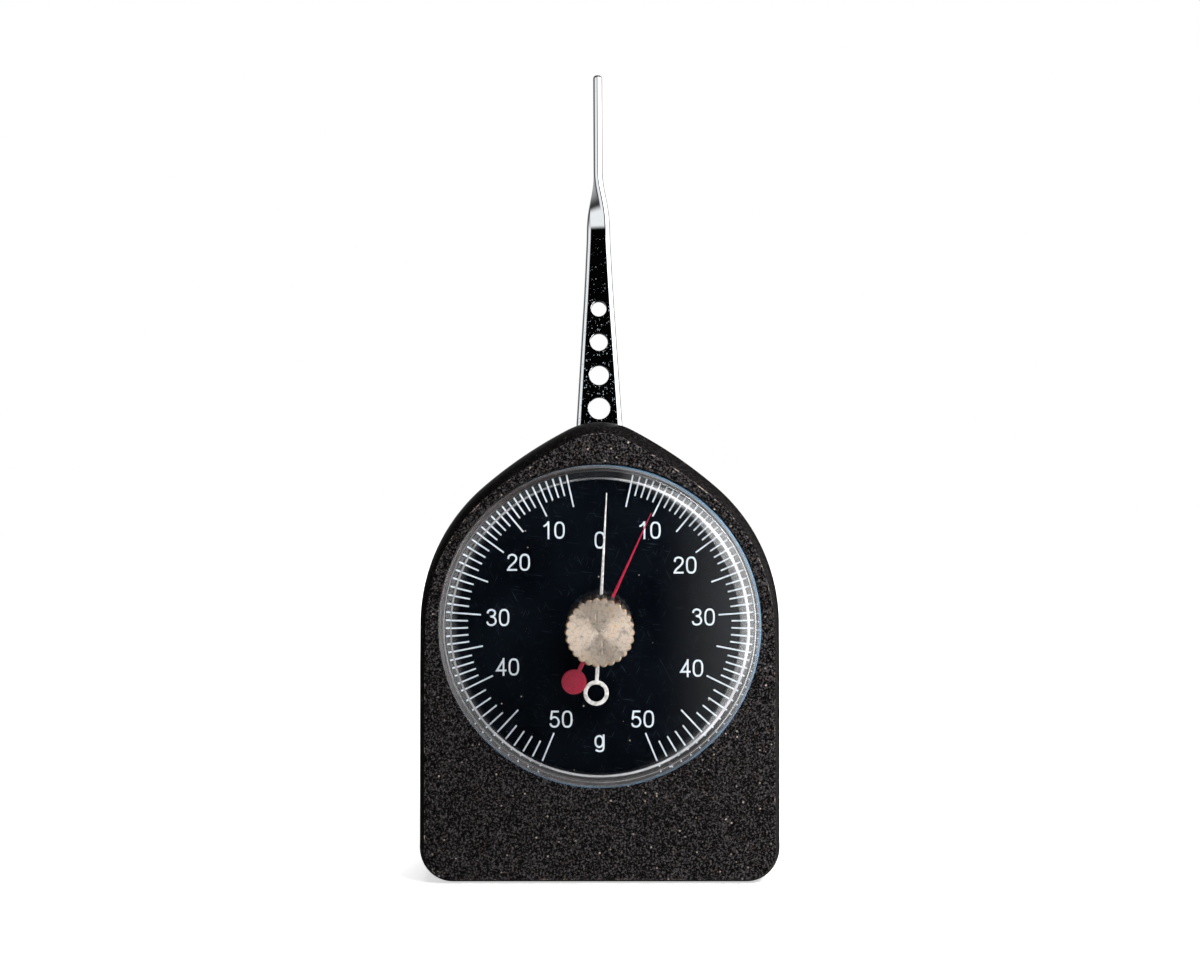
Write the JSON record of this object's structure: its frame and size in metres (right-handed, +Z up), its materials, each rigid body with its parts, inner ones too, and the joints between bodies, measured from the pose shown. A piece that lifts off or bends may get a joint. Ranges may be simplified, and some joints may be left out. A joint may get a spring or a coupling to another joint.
{
  "type": "force gauge",
  "caption": "Hand-held dial force gauge: shield-shaped black case, round lens over a dial with a main and a drag pointer, centre reset knob, tapering twisted feeler arm.",
  "frame": {"origin": "middle of the case's flat bottom, at the middle of the case's depth", "axes": "+Z up towards the feeler arm, -Y out of the dial towards the reader, +X to the reader's right"},
  "size_m": [0.0508, 0.0221, 0.1153],
  "materials": {
    "case_paint": "black wrinkle paint, baked on",
    "lens_clear": "clear acrylic, polished",
    "seal_rubber": "black rubber",
    "dial_print": "satin blue-black print with white marks",
    "white_enamel": "white enamel",
    "red_enamel": "red enamel",
    "chrome_plate": "polished chromium plate",
    "knob_nickel": "turned brass under worn nickel plate",
    "movement_brass": "turned and stamped",
    "movement_steel": "ground"
  },
  "bodies": {
    "root": {"front_housing": "case_paint", "back_cover": "case_paint", "cover_screw_1": "movement_steel", "cover_screw_2": "movement_steel", "cover_screw_3": "movement_steel", "cover_screw_4": "movement_steel", "lens": "lens_clear", "lens_seal": "seal_rubber", "lens_bush": "movement_brass", "dial_plate": "dial_print", "front_plate": "movement_brass", "rear_plate": "movement_brass", "pillar_1": "movement_brass", "pillar_2": "movement_brass", "pillar_3": "movement_brass", "pillar_4": "movement_brass", "pillar_screw_1": "movement_steel", "pillar_screw_2": "movement_steel", "pillar_screw_3": "movement_steel", "pillar_screw_4": "movement_steel", "plate_screw_1": "movement_steel", "plate_screw_2": "movement_steel", "cover_post_1": "movement_brass", "cover_post_2": "movement_brass", "stop_pin_1": "movement_steel", "stop_pin_2": "movement_steel", "spring_stud": "movement_steel", "hairspring_stud": "movement_steel", "arm_bush_front": "movement_brass", "arm_bush_rear": "movement_brass", "pointer_bush_front": "movement_brass", "pointer_bush_rear": "movement_brass", "main_spring": "movement_steel", "hairspring": "movement_steel"},
    "arm": {"feeler_arm": "chrome_plate", "arm_arbor": "movement_steel", "sector_gear": "movement_brass", "sector_rivet_1": "movement_steel", "sector_rivet_2": "movement_steel", "spring_collet": "movement_brass"},
    "pointer": {"pointer_pinion": "movement_steel", "pointer_hub": "movement_brass", "main_pointer": "white_enamel", "hairspring_collet": "movement_brass"},
    "drag": {"drag_arbor": "movement_steel", "drag_pointer": "red_enamel", "friction_washer": "movement_steel", "reset_knob": "knob_nickel"}
  },
  "joints": [
    {"name": "arm_swing", "type": "hinge", "parent": "root", "child": "arm", "pos_m": [0, 0, 0.0527], "axis": [0, 1, 0], "range_deg": [-15.4, 16], "stiffness_Nm_per_rad": 0.112},
    {"name": "pointer_turn", "type": "hinge", "parent": "root", "child": "pointer", "pos_m": [0, 0, 0.0362], "axis": [0, 1, 0], "range_deg": [-160.5, 154.5]},
    {"name": "drag_turn", "type": "hinge", "parent": "root", "child": "drag", "pos_m": [0, 0, 0.0362], "axis": [0, 1, 0], "continuous": true}
  ],
  "couplings": [
    {"joint": "pointer_turn", "follows": "arm_swing", "ratio": -10}
  ]
}
